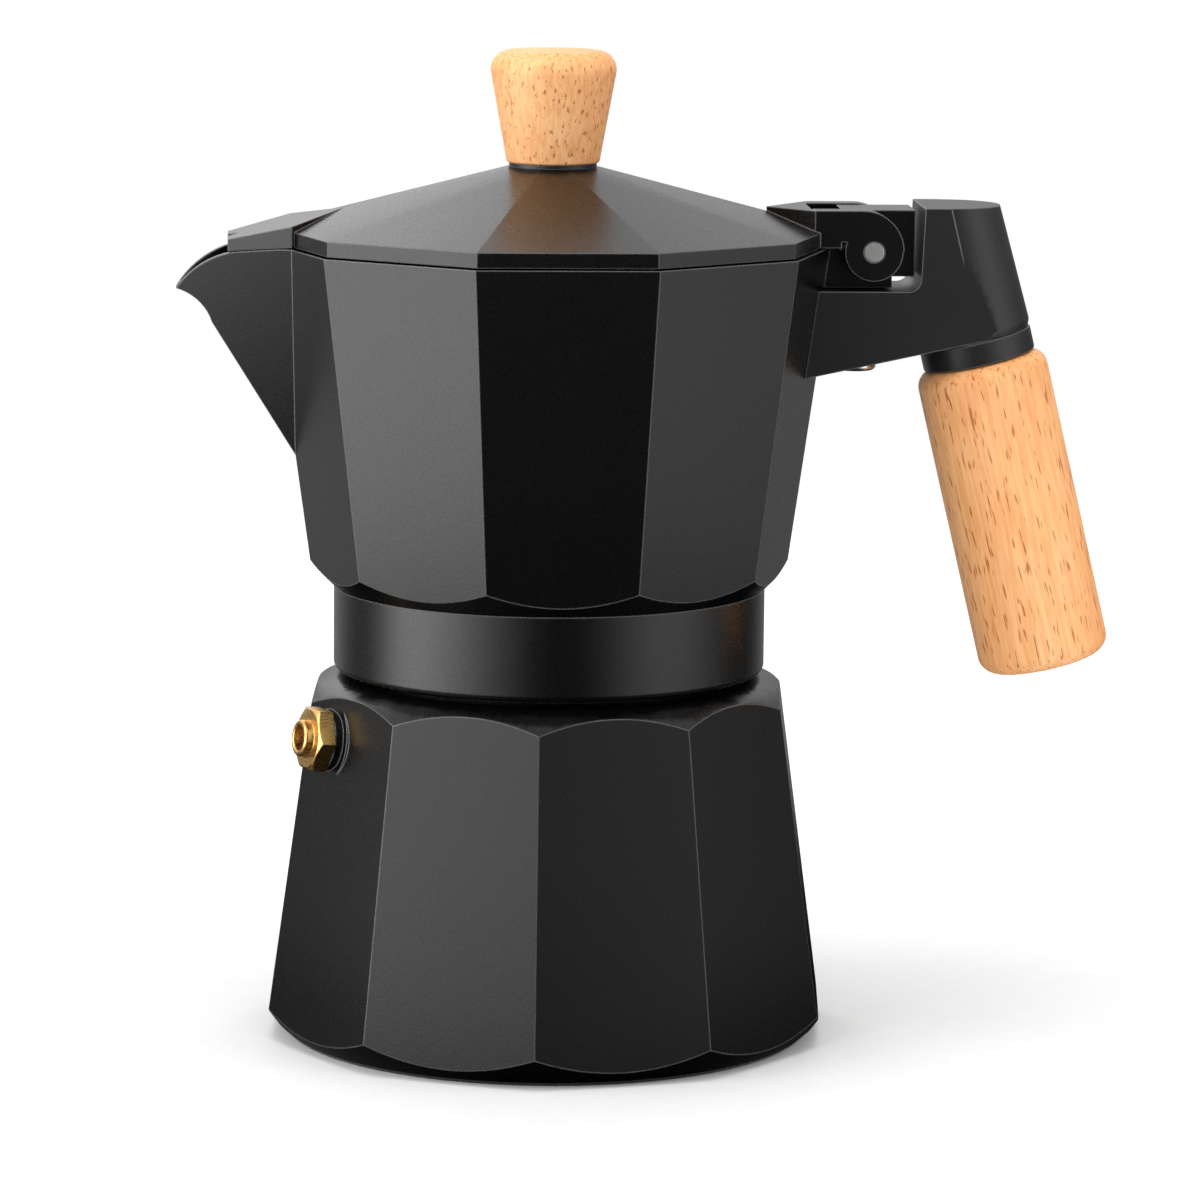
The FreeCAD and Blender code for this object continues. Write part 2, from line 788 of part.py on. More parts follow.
def cross_notch():
    """A round notch in the middle of the spout cover's front edge, for steam."""
    return Part.makeCylinder(cover_notch_radius, 20, vec(-cover_front_radius, 0, rim - 5))


def make_hinge_pin():
    return cross_rod(pin_radius, lug_outer - pin_end_gap, pin_x, pin_z)


# --- Knob -------------------------------------------------------------------------------

def make_knob_washer():
    disc = rod(knob_washer_radius, lid_top, lid_top + knob_washer_thickness)
    return disc.cut(rod(knob_screw_radius + hole_play, lid_top, knob_bottom))


def make_knob():
    top = knob_bottom + knob_height
    knob = turned([
        (0, knob_bottom),
        (knob_base_radius, knob_bottom, 0.4),
        (knob_top_radius, top - 0.3, knob_round),
        (0, top),
    ])
    insert_hole = rod(knob_insert_radius, knob_bottom, knob_bottom + knob_insert_length + 1)
    return knob.cut(insert_hole)


def make_knob_insert():
    low = knob_bottom + seat_gap
    insert = rod(knob_insert_radius - fit_gap, low, low + knob_insert_length)
    return insert.cut(rod(knob_screw_radius + fit_gap, low, low + knob_insert_length))


def make_knob_screw():
    seat = lid_top - lid_boss_height - seat_gap
    head = turned([
        (0, seat - knob_screw_head),
        (knob_screw_head_radius, seat - knob_screw_head, 1.2),
        (knob_screw_head_radius, seat),
        (0, seat),
    ])
    slot = block(-knob_screw_head_radius, knob_screw_head_radius, 0.5,
                 seat - knob_screw_head, seat - knob_screw_head + 0.9)
    shank = rod(knob_screw_radius, seat, knob_bottom + knob_insert_length - 1)
    return head.cut(slot).fuse(shank)


# --- Handle -----------------------------------------------------------------------------

def underside(x):
    """Height of the bracket's sloping underside."""
    root_x = chamber_rim_radius + grip_root_reach
    return rim - grip_root_drop + (x - root_x) * math.tan(math.radians(bracket_slope))


def make_handle_bracket():
    back_top = rim + bracket_top
    front = chamber_rim_radius - 8
    rear = chamber_rim_radius + 45
    floor = rim - recess_floor_drop
    profile = slab([
        (front, underside(front)),
        (rear, underside(rear)),
        (rear, back_top),
        (pin_x + recess_back_top, back_top),
        (pin_x + recess_back, floor, recess_round),
        (front, floor),
    ], bracket_half_width)
    height = back_top - (rim - grip_root_drop) + 8
    narrowing = (collar_radius - bracket_top_radius) / height
    back = turned([
        (0, -0.5),
        (collar_radius - 0.5, -0.5),
        (collar_radius + 0.1, 1.0, 1.0),
        (bracket_top_radius - 8 * narrowing, height),
        (0, height),
    ])
    back = on_grip_axis(back)
    ahead = on_grip_axis(block(-60, 0, FAR, -60, 60))
    body = profile.common(ahead.fuse(back))
    body = body.cut(chamber_outside(seat_gap))
    slot = block(0, pin_x + rib_length + rib_play, rib_half_width + rib_play,
                 rim - rib_drop - rib_play, floor + 1)
    screw_x = chamber_rim_radius + bracket_screw_reach
    screw_seat = rim - rib_drop - rib_play - bracket_web
    head_room = rod(bracket_screw_head_radius + hole_play, screw_seat - 20, screw_seat, screw_x)
    screw_hole = rod(bracket_screw_radius + hole_play, screw_seat - 1, floor, screw_x)
    insert_hole = on_grip_axis(rod(insert_radius, -1, insert_length + 1))
    collar_seat = on_grip_axis(rod(collar_radius + 1, -collar_length, 0))
    return body.cut([slot, head_room, screw_hole, insert_hole, collar_seat])


def make_bracket_screw():
    screw_x = chamber_rim_radius + bracket_screw_reach
    seat = rim - rib_drop - rib_play - bracket_web - seat_gap
    head = turned([
        (0, seat - bracket_screw_head),
        (bracket_screw_head_radius, seat - bracket_screw_head, 0.8),
        (bracket_screw_head_radius, seat),
        (0, seat),
    ])
    slot = block(-bracket_screw_head_radius, bracket_screw_head_radius, 0.5,
                 seat - bracket_screw_head, seat - bracket_screw_head + 1)
    shank = rod(bracket_screw_radius, seat, rim - tongue_drop - 2)
    screw = head.cut(slot).fuse(shank)
    screw.translate(vec(screw_x, 0, 0))
    return screw


def make_handle_insert():
    insert = rod(insert_radius - fit_gap, seat_gap, insert_length)
    return on_grip_axis(insert.cut(rod(bolt_radius + fit_gap, seat_gap, insert_length)))


def make_handle_collar():
    collar = rod(collar_radius, -collar_length, -seat_gap)
    return on_grip_axis(collar.cut(rod(bolt_radius + hole_play, -collar_length, 0)))


def grip_ends():
    """Heights of the grip's lower and upper end along its own axis."""
    high = -collar_length - seat_gap
    return high - grip_length, high


def make_handle_grip():
    low, high = grip_ends()
    grip = turned([
        (0, low),
        (grip_radius, low, grip_round),
        (grip_radius, high, grip_round),
        (0, high),
    ])
    bolt_hole = rod(bolt_radius + hole_play, low, high)
    recess = rod(bolt_head_radius + hole_play, low, low + bolt_recess)
    return on_grip_axis(grip.cut([bolt_hole, recess]))


def make_handle_bolt():
    seat = grip_ends()[0] + bolt_recess - seat_gap
    head = rod(bolt_head_radius, seat - bolt_head, seat)
    socket = rod(bolt_radius, seat - bolt_head, seat - bolt_head / 2)
    shank = rod(bolt_radius, seat, insert_length - 2)
    return on_grip_axis(head.cut(socket).fuse(shank))


# --- Write every piece ------------------------------------------------------------------

PIECES = {
    "boiler": make_boiler,
    "safety_valve_body": make_safety_valve_body,
    "safety_valve_seat": make_safety_valve_seat,
    "safety_valve_poppet": make_safety_valve_poppet,
    "safety_valve_spring": make_safety_valve_spring,
    "funnel_basket": make_funnel_basket,
    "funnel_tube": make_funnel_tube,
    "funnel_plate": make_funnel_plate,
    "gasket": make_gasket,
    "filter_plate": make_filter_plate,
    "collector": make_collector,
    "lid": make_lid,
    "hinge_pin": make_hinge_pin,
    "knob_washer": make_knob_washer,
    "knob": make_knob,
    "knob_insert": make_knob_insert,
    "knob_screw": make_knob_screw,
    "handle_bracket": make_handle_bracket,
    "bracket_screw": make_bracket_screw,
    "handle_insert": make_handle_insert,
    "handle_collar": make_handle_collar,
    "handle_grip": make_handle_grip,
    "handle_bolt": make_handle_bolt,
}

os.makedirs("parts", exist_ok=True)
for node, make in PIECES.items():
    shape = make()
    shape.exportStep("parts/" + node + ".step")
    box = shape.BoundBox
    print(node, "solids", len(shape.Solids), "valid", shape.isValid(),
          "volume %.1f" % shape.Volume,
          "x %.1f %.1f y %.1f %.1f z %.1f %.1f" % (
              box.XMin, box.XMax, box.YMin, box.YMax, box.ZMin, box.ZMax))
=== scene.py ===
import json
import math

import bmesh
import bpy
from mathutils import Matrix, Vector

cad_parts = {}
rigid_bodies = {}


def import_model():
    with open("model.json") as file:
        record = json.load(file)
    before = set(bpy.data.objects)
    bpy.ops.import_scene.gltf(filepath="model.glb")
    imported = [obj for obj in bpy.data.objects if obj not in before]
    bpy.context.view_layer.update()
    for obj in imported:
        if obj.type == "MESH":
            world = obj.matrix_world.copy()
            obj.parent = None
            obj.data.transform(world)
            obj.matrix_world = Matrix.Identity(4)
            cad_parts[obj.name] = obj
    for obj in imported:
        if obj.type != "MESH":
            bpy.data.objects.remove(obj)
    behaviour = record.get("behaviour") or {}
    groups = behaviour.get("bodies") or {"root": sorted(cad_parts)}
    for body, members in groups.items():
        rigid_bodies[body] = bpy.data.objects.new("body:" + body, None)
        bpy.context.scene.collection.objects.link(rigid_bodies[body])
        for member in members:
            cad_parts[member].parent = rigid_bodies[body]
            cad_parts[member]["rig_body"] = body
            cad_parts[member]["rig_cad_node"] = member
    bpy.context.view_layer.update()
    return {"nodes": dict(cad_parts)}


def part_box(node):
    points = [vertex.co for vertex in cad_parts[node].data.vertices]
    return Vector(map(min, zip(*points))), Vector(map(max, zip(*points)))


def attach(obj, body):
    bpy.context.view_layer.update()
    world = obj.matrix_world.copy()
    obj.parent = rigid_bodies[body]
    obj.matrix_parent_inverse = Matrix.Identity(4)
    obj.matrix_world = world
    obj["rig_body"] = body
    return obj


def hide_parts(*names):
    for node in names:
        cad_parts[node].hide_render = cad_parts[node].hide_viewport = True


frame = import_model()
mm = 0.001


# --- Camera -------------------------------------------------------------------
# A long lens at table height, looking slightly down at the side of the pot, with the
# spout to the left and the handle to the right.

camera_place = Vector((-51.15, -898.55, 214.51)) * mm
camera_yaw = math.radians(3.78)
camera_pitch = math.radians(9.11)
camera_roll = math.radians(0.573)
lens_mm = 169.3

bpy.ops.object.camera_add(location=camera_place)
camera = bpy.context.object
camera.name = "camera"
camera.data.lens = lens_mm
camera.data.sensor_width = 36
camera.data.clip_start = 0.01
ahead = Vector((
    math.sin(camera_yaw) * math.cos(camera_pitch),
    math.cos(camera_yaw) * math.cos(camera_pitch),
    -math.sin(camera_pitch)))
level = Vector((math.cos(camera_yaw), -math.sin(camera_yaw), 0))
upright = level.cross(ahead)
right = level * math.cos(camera_roll) + upright * math.sin(camera_roll)
top = right.cross(ahead)
camera.rotation_euler = Matrix((right, top, -ahead)).transposed().to_euler()
bpy.context.scene.camera = camera


# --- Boiler ---------------------------------------------------------------------
# A ten-sided pot, cast in aluminium. Its foot and shoulder are turned on a lathe, which
# leaves an arc at the end of each facet, and it is sprayed with a fine matt black coating.

edge_rounding = 0.3 * mm


def dressed(name, node, sharpest=28):
    """A copy of a machined piece with its doubles merged and its curves shaded smooth."""
    piece = frame["nodes"][node].copy()
    piece.data = piece.data.copy()
    piece.name = name
    piece.parent = None
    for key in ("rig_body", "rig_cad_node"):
        if key in piece:
            del piece[key]
    bpy.context.scene.collection.objects.link(piece)
    bpy.ops.object.select_all(action="DESELECT")
    piece.select_set(True)
    bpy.context.view_layer.objects.active = piece
    piece.data.materials.clear()
    bpy.ops.object.mode_set(mode="EDIT")
    bpy.ops.mesh.select_all(action="SELECT")
    bpy.ops.mesh.remove_doubles(threshold=0.002 * mm)
    bpy.ops.mesh.dissolve_limited(angle_limit=math.radians(0.4))
    bpy.ops.object.mode_set(mode="OBJECT")
    bevel = piece.modifiers.new("broken_edges", "BEVEL")
    bevel.width = edge_rounding
    bevel.segments = 2
    bevel.limit_method = "ANGLE"
    bevel.angle_limit = math.radians(25)
    bpy.ops.object.modifier_apply(modifier=bevel.name)
    bpy.ops.object.shade_smooth_by_angle(angle=math.radians(sharpest))
    weights = piece.modifiers.new("face_weights", "WEIGHTED_NORMAL")
    weights.mode = "FACE_AREA"
    weights.weight = 60
    weights.keep_sharp = True
    bpy.ops.object.modifier_apply(modifier=weights.name)
    return piece


def new_material(name):
    """A material with an empty surface, and the tools to wire it."""
    material = bpy.data.materials.new(name)
    material.use_nodes = True
    tree = material.node_tree
    surface = tree.nodes["Principled BSDF"]
    return material, tree, surface


def add_node(tree, kind, **settings):
    node = tree.nodes.new(kind)
    for key, value in settings.items():
        if key in node.inputs:
            node.inputs[key].default_value = value
        else:
            setattr(node, key, value)
    return node


def grain(tree, scale, detail=2.0, stretch=(1, 1, 1), rough=0.5):
    """Noise on the piece's own coordinates, as many grains to a metre as scale says."""
    place = add_node(tree, "ShaderNodeTexCoord")
    mapping = add_node(tree, "ShaderNodeMapping")
    mapping.inputs["Scale"].default_value = stretch
    noise = add_node(tree, "ShaderNodeTexNoise", Scale=scale, Detail=detail, Roughness=rough)
    tree.links.new(place.outputs["Object"], mapping.inputs["Vector"])
    tree.links.new(mapping.outputs["Vector"], noise.inputs["Vector"])
    return noise


def spread(tree, source, low, high, from_low=0.3, from_high=0.7):
    """Stretch a noise output to the range low to high."""
    remap = add_node(tree, "ShaderNodeMapRange")
    for key, value in (("From Min", from_low), ("From Max", from_high),
                       ("To Min", low), ("To Max", high)):
        remap.inputs[key].default_value = value
    tree.links.new(source, remap.inputs["Value"])
    return remap.outputs["Result"]


def tint(tree, source, stops):
    """A colour ramp over a noise output."""
    ramp = add_node(tree, "ShaderNodeValToRGB")
    while len(ramp.color_ramp.elements) < len(stops):
        ramp.color_ramp.elements.new(0.5)
    for element, (place, colour) in zip(ramp.color_ramp.elements, stops):
        element.position = place
        element.color = (*colour, 1)
    tree.links.new(source, ramp.inputs["Fac"])
    return ramp.outputs["Color"]


def bumped(tree, surface, heights):
    """Stack bumps, each (source, strength, depth), on a normal that rounds the sharp edges."""
    broken_edge = add_node(tree, "ShaderNodeBevel", samples=6, Radius=edge_rounding)
    normal = broken_edge.outputs["Normal"]
    for source, strength, depth in heights:
        bump = add_node(tree, "ShaderNodeBump", Strength=strength, Distance=depth)
        tree.links.new(source, bump.inputs["Height"])
        tree.links.new(normal, bump.inputs["Normal"])
        normal = bump.outputs["Normal"]
    tree.links.new(normal, surface.inputs["Normal"])


def black_coating(name, dark, pale, smooth, rough, pebble):
    """Matt black spray on cast metal: a fine pebbled skin, with a painted highlight that makes
    the sharp edges paler.
    """
    material, tree, surface = new_material(name)
    pebbles = grain(tree, 2600, 2.0)
    peel = grain(tree, 420, 1.0)
    cloud = grain(tree, 45, 3.0)
    colour = tint(tree, cloud.outputs["Fac"], [(0.35, dark), (0.7, pale)])
    # Pale grey is added where the rounded-edge normal leans away from the face's own normal: a
    # painted highlight along the sharp edges.
    broken_edge = add_node(tree, "ShaderNodeBevel", samples=6, Radius=edge_rounding)
    facing = add_node(tree, "ShaderNodeNewGeometry")
    edge_highlight_mask = add_node(tree, "ShaderNodeVectorMath", operation="DOT_PRODUCT")
    tree.links.new(broken_edge.outputs["Normal"], edge_highlight_mask.inputs[0])
    tree.links.new(facing.outputs["Normal"], edge_highlight_mask.inputs[1])
    painted_edge_highlight = tint(tree, edge_highlight_mask.outputs["Value"],
                     [(0.960, (0.13, 0.13, 0.132)), (0.995, (0, 0, 0))])
    colour_with_painted_highlight = add_node(tree, "ShaderNodeMix", data_type="RGBA", blend_type="ADD")
    colour_with_painted_highlight.inputs["Factor"].default_value = 1.0
    tree.links.new(colour, colour_with_painted_highlight.inputs["A"])
    tree.links.new(painted_edge_highlight, colour_with_painted_highlight.inputs["B"])
    tree.links.new(colour_with_painted_highlight.outputs["Result"], surface.inputs["Base Color"])
    tree.links.new(spread(tree, pebbles.outputs["Fac"], smooth, rough),
                   surface.inputs["Roughness"])
    bumped(tree, surface, [
        (peel.outputs["Fac"], 0.05, 0.05 * mm),
        (pebbles.outputs["Fac"], pebble, 0.035 * mm)])
    surface.inputs["Specular IOR Level"].default_value = 0.46
    return material


cast_black = black_coating("cast_black", (0.0012, 0.0012, 0.0012), (0.0018, 0.0018, 0.0018),
                           0.25, 0.33, 0.30)

boiler = dressed("boiler_shell", "boiler")
boiler.data.materials.append(cast_black)
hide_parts("boiler")
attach(boiler, "boiler")


# --- Safety valve -----------------------------------------------------------------
# A brass plug turned from hexagonal bar and screwed into the boiler's wall, with a round
# nose, a steel poppet and a fine spring inside.

def turned_metal(name, colour, shade, smooth, rough, scale):
    """Bare turned metal with fine scratches and a slightly uneven colour."""
    material, tree, surface = new_material(name)
    scratches = grain(tree, scale, 3.0, (1, 1, 6))
    cloud = grain(tree, 260, 2.0)
    tone = tint(tree, cloud.outputs["Fac"], [(0.35, shade), (0.65, colour)])
    tree.links.new(tone, surface.inputs["Base Color"])
    tree.links.new(spread(tree, scratches.outputs["Fac"], smooth, rough),
                   surface.inputs["Roughness"])
    surface.inputs["Metallic"].default_value = 1.0
    bumped(tree, surface, [(scratches.outputs["Fac"], 0.15, 0.02 * mm)])
    return material


brass = turned_metal("brass", (0.90, 0.58, 0.22), (0.80, 0.47, 0.15), 0.22, 0.36, 900)
steel = turned_metal("steel", (0.86, 0.85, 0.83), (0.70, 0.69, 0.68), 0.15, 0.30, 1200)
aluminium = turned_metal("bare_aluminium", (0.80, 0.80, 0.81), (0.70, 0.70, 0.72),
                         0.28, 0.45, 700)


def finish_node(node, material):
    """Put a material on a machined piece that shows as it is."""
    for slot in frame["nodes"][node].material_slots:
        slot.material = material


valve = dressed("valve_plug", "safety_valve_body")
valve.data.materials.append(brass)
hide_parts("safety_valve_body")
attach(valve, "boiler")
finish_node("safety_valve_seat", brass)
finish_node("safety_valve_poppet", steel)
finish_node("safety_valve_spring", steel)


# --- Funnel, gasket and filter plate ------------------------------------------------
# The coffee funnel is pressed from bare aluminium sheet, with a drawn tube. The gasket is
# cream silicone rubber, and it holds a punched aluminium plate.

for inner_piece in ("funnel_basket", "funnel_tube", "funnel_plate", "filter_plate"):
    finish_node(inner_piece, aluminium)

silicone, tree, surface = new_material("gasket_rubber")
mottle = grain(tree, 300, 3.0)
tree.links.new(tint(tree, mottle.outputs["Fac"],
                    [(0.3, (0.66, 0.62, 0.53)), (0.7, (0.72, 0.69, 0.61))]),
               surface.inputs["Base Color"])
surface.inputs["Roughness"].default_value = 0.6
bumped(tree, surface, [(mottle.outputs["Fac"], 0.2, 0.03 * mm)])
finish_node("gasket", silicone)


# --- Collector ------------------------------------------------------------------------
# The upper chamber, cast in one piece with its spout, threaded skirt, hinge tongue and
# coffee column, and sprayed like the boiler.

collector = dressed("collector_shell", "collector")
collector.data.materials.append(cast_black)
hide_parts("collector")
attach(collector, "collector")


# --- Lid --------------------------------------------------------------------------------
# A thin ten-sided casting with a raised cover over the spout and two lugs that turn on
# the hinge pin.

lid = dressed("lid_shell", "lid", 7.5)
lid.data.materials.append(cast_black)
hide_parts("lid")
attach(lid, "lid")


# --- Hinge pin -----------------------------------------------------------------------------
# A bright steel pin with a punched dimple in each end, which keeps it in the lugs.

pin_low, pin_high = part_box("hinge_pin")
pin_x = (pin_low[0] + pin_high[0]) / 2
pin_z = (pin_low[2] + pin_high[2]) / 2
pin_radius = (pin_high[2] - pin_low[2]) / 2
pin_half = pin_high[1]
dimple_steps = ((0.12 * mm, 0), (0.72 * mm, 0), (0.10 * mm, -0.10 * mm), (0.38 * mm, -0.30 * mm))
bpy.ops.object.select_all(action="DESELECT")
bpy.ops.mesh.primitive_cylinder_add(vertices=64, radius=pin_radius, depth=2 * pin_half,
                                    location=(0, 0, 0))
pin = bpy.context.object
pin.name = "dimpled_pin"
bpy.ops.object.mode_set(mode="EDIT")
for end in (1, -1):
    for inset, sink in dimple_steps:
        pin_mesh = bmesh.from_edit_mesh(pin.data)
        for face in pin_mesh.faces:
            on_axis = face.calc_center_median().xy.length < 0.01 * mm
            face.select_set(face.normal.z * end > 0.9 and on_axis)
        bmesh.update_edit_mesh(pin.data)
        bpy.ops.mesh.inset(thickness=inset, depth=sink)
bpy.ops.object.mode_set(mode="OBJECT")
bpy.ops.object.shade_smooth_by_angle(angle=math.radians(20))
pin.rotation_euler = (math.radians(90), 0, 0)
pin.location = (pin_x, 0, pin_z)
bpy.ops.object.transform_apply(location=True, rotation=True, scale=False)
bright_steel = turned_metal("bright_steel", (0.95, 0.94, 0.92), (0.88, 0.87, 0.85),
                            0.30, 0.42, 1200)
pin.data.materials.append(bright_steel)
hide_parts("hinge_pin")
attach(pin, "collector")


# --- Knob and grip ---------------------------------------------------------------------------
# Steamed beech, turned and sanded under a clear matt lacquer. Its short dark flecks run
# along the grain.

def beech(name, tilt, along=1.0):
    """Beech with its grain along Z, leaned by tilt about Y."""
    material, tree, surface = new_material(name)
    place = add_node(tree, "ShaderNodeTexCoord")
    lean = add_node(tree, "ShaderNodeMapping")
    lean.inputs["Rotation"].default_value = (0, tilt, 0)
    tree.links.new(place.outputs["Object"], lean.inputs["Vector"])

    def streaks(scale, stretch, detail, rough=0.5):
        squeeze = add_node(tree, "ShaderNodeMapping")
        squeeze.inputs["Scale"].default_value = stretch
        noise = add_node(tree, "ShaderNodeTexNoise", Scale=scale, Detail=detail, Roughness=rough)
        tree.links.new(lean.outputs["Vector"], squeeze.inputs["Vector"])
        tree.links.new(squeeze.outputs["Vector"], noise.inputs["Vector"])
        return noise.outputs["Fac"]

    broad = streaks(55, (1.3, 1.3, 0.25 * along), 3.0)
    fine = streaks(1500, (1, 1, 0.07 * along), 4.0, 0.6)
    flecks = streaks(2100, (1, 1, 0.13 * along), 1.0, 0.4)
    base = tint(tree, broad, [(0.30, (0.90, 0.42, 0.165)), (0.50, (0.96, 0.50, 0.215)),
                              (0.72, (0.98, 0.58, 0.28))])
    fine_tone = tint(tree, fine, [(0.34, (0.86, 0.68, 0.52)), (0.60, (1, 1, 1))])
    fleck_tone = tint(tree, flecks, [(0.30, (0.50, 0.27, 0.14)), (0.375, (1, 1, 1))])
    mixed = add_node(tree, "ShaderNodeMix", data_type="RGBA", blend_type="MULTIPLY")
    mixed.inputs["Factor"].default_value = 0.75
    tree.links.new(base, mixed.inputs["A"])
    tree.links.new(fine_tone, mixed.inputs["B"])
    flecked = add_node(tree, "ShaderNodeMix", data_type="RGBA", blend_type="MULTIPLY")
    flecked.inputs["Factor"].default_value = 0.85
    tree.links.new(mixed.outputs["Result"], flecked.inputs["A"])
    tree.links.new(fleck_tone, flecked.inputs["B"])
    tree.links.new(flecked.outputs["Result"], surface.inputs["Base Color"])
    tree.links.new(spread(tree, fine, 0.42, 0.56), surface.inputs["Roughness"])
    surface.inputs["Specular IOR Level"].default_value = 0.3
    bumped(tree, surface, [(fine, 0.12, 0.03 * mm), (fleck_tone, 0.25, 0.05 * mm)])
    return material


knob_wood = beech("knob_beech", 0.0, 3.2)
grip_wood = beech("grip_beech", math.radians(13.5))

knob = dressed("knob_turned", "knob")
knob.data.materials.append(knob_wood)
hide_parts("knob")
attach(knob, "lid")

grip = dressed("grip_turned", "handle_grip")
grip.data.materials.append(grip_wood)
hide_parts("handle_grip")
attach(grip, "collector")


# --- Handle bracket and collar -------------------------------------------------------------
# Black heat-resistant moulding with a satin skin, screwed to the chamber's cast rib. The
# collar under it is turned from the same material.

moulded_black = black_coating("moulded_black", (0.010, 0.010, 0.0102), (0.013, 0.013, 0.0132),
                              0.34, 0.42, 0.18)

bracket = dressed("bracket_moulding", "handle_bracket")
bracket.data.materials.append(moulded_black)
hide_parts("handle_bracket")
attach(bracket, "collector")

collar = dressed("grip_collar", "handle_collar")
collar.data.materials.append(moulded_black)
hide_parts("handle_collar")
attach(collar, "collector")
finish_node("knob_washer", moulded_black)


# --- Screws, bolt and inserts ---------------------------------------------------------------
# Plated steel screws and pressed-in brass inserts, all hidden when the pot is closed.

for screw in ("knob_screw", "bracket_screw", "handle_bolt"):
    finish_node(screw, steel)
for insert in ("knob_insert", "handle_insert"):
    finish_node(insert, brass)


# --- Studio -----------------------------------------------------------------------------------
# A round white table under a white sky. A large soft lamp stands at the left and reaches
# down to the table, a smaller one stands at the right, one hangs behind and one above.

table_radius = 0.6

bpy.ops.mesh.primitive_circle_add(vertices=96, radius=table_radius, fill_type="NGON",
                                  location=(0, 0, 0))
floor = bpy.context.object
floor.name = "table_top"
table_white, tree, surface = new_material("table_white")
speck = grain(tree, 300, 2.0)
tree.links.new(tint(tree, speck.outputs["Fac"],
                    [(0.3, (0.86, 0.86, 0.86)), (0.7, (0.88, 0.88, 0.88))]),
               surface.inputs["Base Color"])
surface.inputs["Roughness"].default_value = 0.9
surface.inputs["Specular IOR Level"].default_value = 0.1
floor.data.materials.append(table_white)

world = bpy.data.worlds.new("white_studio")
bpy.context.scene.world = world
world.use_nodes = True
sky = world.node_tree
sky.nodes.clear()
seen = add_node(sky, "ShaderNodeBackground")
seen.inputs["Color"].default_value = (1, 1, 1, 1)
seen.inputs["Strength"].default_value = 1.0
lit = add_node(sky, "ShaderNodeBackground")
lit.inputs["Color"].default_value = (1, 1, 1, 1)
lit.inputs["Strength"].default_value = 0.75
ray = add_node(sky, "ShaderNodeLightPath")
either = add_node(sky, "ShaderNodeMath", operation="MAXIMUM")
any_seen = add_node(sky, "ShaderNodeMath", operation="MAXIMUM")
choice = add_node(sky, "ShaderNodeMixShader")
out = add_node(sky, "ShaderNodeOutputWorld")
sky.links.new(ray.outputs["Is Camera Ray"], either.inputs[0])
sky.links.new(ray.outputs["Is Glossy Ray"], either.inputs[1])
sky.links.new(either.outputs[0], any_seen.inputs[0])
sky.links.new(ray.outputs["Is Transmission Ray"], any_seen.inputs[1])
sky.links.new(any_seen.outputs[0], choice.inputs["Fac"])
sky.links.new(lit.outputs["Background"], choice.inputs[1])
sky.links.new(seen.outputs["Background"], choice.inputs[2])
sky.links.new(choice.outputs["Shader"], out.inputs["Surface"])


def soft_lamp(name, compass, rise, distance, width, height, radiance):
    """A rectangular lamp that faces the pot. Compass is measured from the front, to the right."""
    aim = Vector((0, 0, 0.08))
    turn, lift = math.radians(compass), math.radians(rise)
    away = Vector((math.sin(turn) * math.cos(lift),
                   -math.cos(turn) * math.cos(lift),
                   math.sin(lift)))
    bpy.ops.object.light_add(type="AREA", location=aim + away * distance)
    lamp = bpy.context.object
    lamp.name = name
    lamp.data.shape = "RECTANGLE"
    lamp.data.size = width
    lamp.data.size_y = height
    lamp.data.energy = radiance * math.pi * width * height
    lamp.rotation_euler = (-away).to_track_quat("-Z", "Y").to_euler()
    lamp.visible_glossy = False


soft_lamp("left_lamp", -66, 20, 0.9, 1.1, 0.75, 2.4)
soft_lamp("right_lamp", 68, 30, 0.9, 0.5, 0.6, 1.6)
soft_lamp("back_lamp", 176, 36, 0.8, 0.9, 0.35, 2.0)
soft_lamp("top_lamp", -20, 80, 0.8, 0.6, 0.6, 2.0)

# The tent: two tall soft boxes at the left and the right with dark gaps between them, as
# light that only reflections see. Its skirt lies on the table, dimmed near the pot as a painted
# shadow.

tent_glow, tree, surface = new_material("tent_glow")
place = add_node(tree, "ShaderNodeTexCoord")
axes = add_node(tree, "ShaderNodeSeparateXYZ")
ahead_of = add_node(tree, "ShaderNodeMath", operation="MULTIPLY")
ahead_of.inputs[1].default_value = -1.0
compass = add_node(tree, "ShaderNodeMath", operation="ARCTAN2")
tree.links.new(place.outputs["Object"], axes.inputs["Vector"])
tree.links.new(axes.outputs["Y"], ahead_of.inputs[0])
tree.links.new(axes.outputs["X"], compass.inputs[0])
tree.links.new(ahead_of.outputs[0], compass.inputs[1])
round_table = add_node(tree, "ShaderNodeMapRange")
round_table.inputs["From Min"].default_value = -math.pi
round_table.inputs["From Max"].default_value = math.pi
tree.links.new(compass.outputs[0], round_table.inputs["Value"])

peak = 4.8
tent_radius = 0.55
tent_height = 0.6
skirt_width = 0.5095


def glow_ramp(stops):
    return tint(tree, round_table.outputs["Result"],
                [((angle + 180) / 360, (glow / peak,) * 3) for angle, glow in stops])


soft_boxes = ((-88, 3.6), (-76, 4.7), (-62, 4.1), (-47, 2.7), (-30, 1.1), (-17, 0.40),
              (-11, 0.06), (12, 0.05), (24, 0.28), (36, 0.9), (54, 1.55), (70, 1.30))
low = glow_ramp(((-180, 0.45), (-145, 0.40), (-125, 0.16), (-108, 0.20), (-97, 1.3),
                 *soft_boxes,
                 (88, 0.55), (104, 0.10), (125, 0.05), (145, 0.25), (180, 0.45)))
high = glow_ramp(((-180, 1.5), (-165, 1.7), (-120, 0.9), (-100, 1.3),
                  *soft_boxes,
                  (95, 0.6), (130, 0.6), (170, 0.95), (180, 1.2)))
height = add_node(tree, "ShaderNodeMapRange", interpolation_type="SMOOTHSTEP")
height.inputs["From Min"].default_value = 0.13
height.inputs["From Max"].default_value = 0.26
tree.links.new(axes.outputs["Z"], height.inputs["Value"])
both = add_node(tree, "ShaderNodeMix", data_type="RGBA")
tree.links.new(height.outputs["Result"], both.inputs["Factor"])
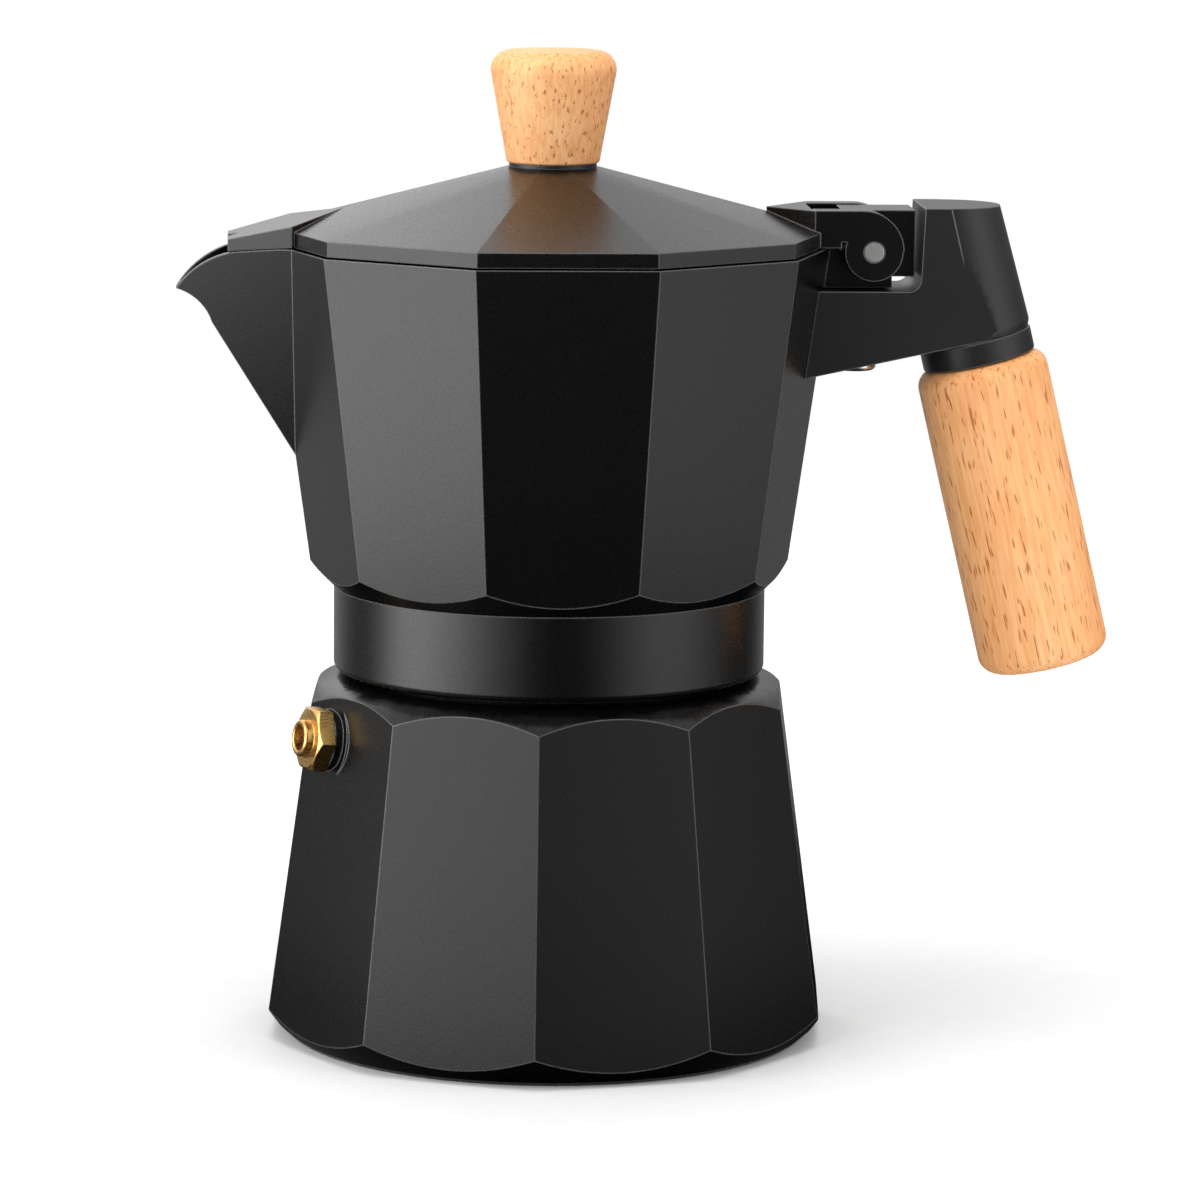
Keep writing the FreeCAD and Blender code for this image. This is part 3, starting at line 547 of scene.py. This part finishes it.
tree.links.new(low, both.inputs["A"])
tree.links.new(high, both.inputs["B"])
# The skirt's glow falls to 0.02 within 0.13 m of the pot and is full beyond 0.30 m: a painted
# shadow on the table, seen only in reflections.
reach = add_node(tree, "ShaderNodeVectorMath", operation="LENGTH")
tree.links.new(place.outputs["Object"], reach.inputs[0])
painted_floor_shadow = add_node(tree, "ShaderNodeMapRange", interpolation_type="SMOOTHSTEP")
for key, value in (("From Min", 0.13), ("From Max", 0.30), ("To Min", 0.02), ("To Max", 1.0)):
    painted_floor_shadow.inputs[key].default_value = value
tree.links.new(reach.outputs["Value"], painted_floor_shadow.inputs["Value"])
strength = add_node(tree, "ShaderNodeMath", operation="MULTIPLY")
strength.inputs[1].default_value = peak
tree.links.new(painted_floor_shadow.outputs["Result"], strength.inputs[0])
surface.inputs["Base Color"].default_value = (0, 0, 0, 1)
surface.inputs["Specular IOR Level"].default_value = 0.0
tree.links.new(both.outputs["Result"], surface.inputs["Emission Color"])
tree.links.new(strength.outputs[0], surface.inputs["Emission Strength"])

bpy.ops.object.select_all(action="DESELECT")
bpy.ops.mesh.primitive_circle_add(vertices=96, radius=tent_radius, fill_type="NGON",
                                  location=(0, 0, 0.6 * mm))
tent = bpy.context.object
tent.name = "tent"
bpy.ops.object.mode_set(mode="EDIT")
bpy.ops.mesh.select_all(action="SELECT")
bpy.ops.mesh.inset(thickness=skirt_width, use_select_inset=False)
bpy.ops.mesh.delete(type="FACE")
bpy.ops.mesh.select_all(action="DESELECT")
bpy.ops.object.mode_set(mode="OBJECT")
for edge in tent.data.edges:
    start, end = (tent.data.vertices[corner].co for corner in edge.vertices)
    on_one_ring = abs(start.length - end.length) < mm
    edge.select = ((start + end) / 2).length > 0.5 and on_one_ring
bpy.ops.object.mode_set(mode="EDIT")
bpy.ops.mesh.extrude_region_move(TRANSFORM_OT_translate={"value": (0, 0, tent_height)})
bpy.ops.object.mode_set(mode="OBJECT")
bpy.ops.object.transform_apply(location=True, rotation=False, scale=False)
tent.data.materials.append(tent_glow)
tent.visible_camera = False
tent.visible_diffuse = False
tent.visible_shadow = False
tent.visible_transmission = False

bpy.context.scene.view_settings.view_transform = "Standard"
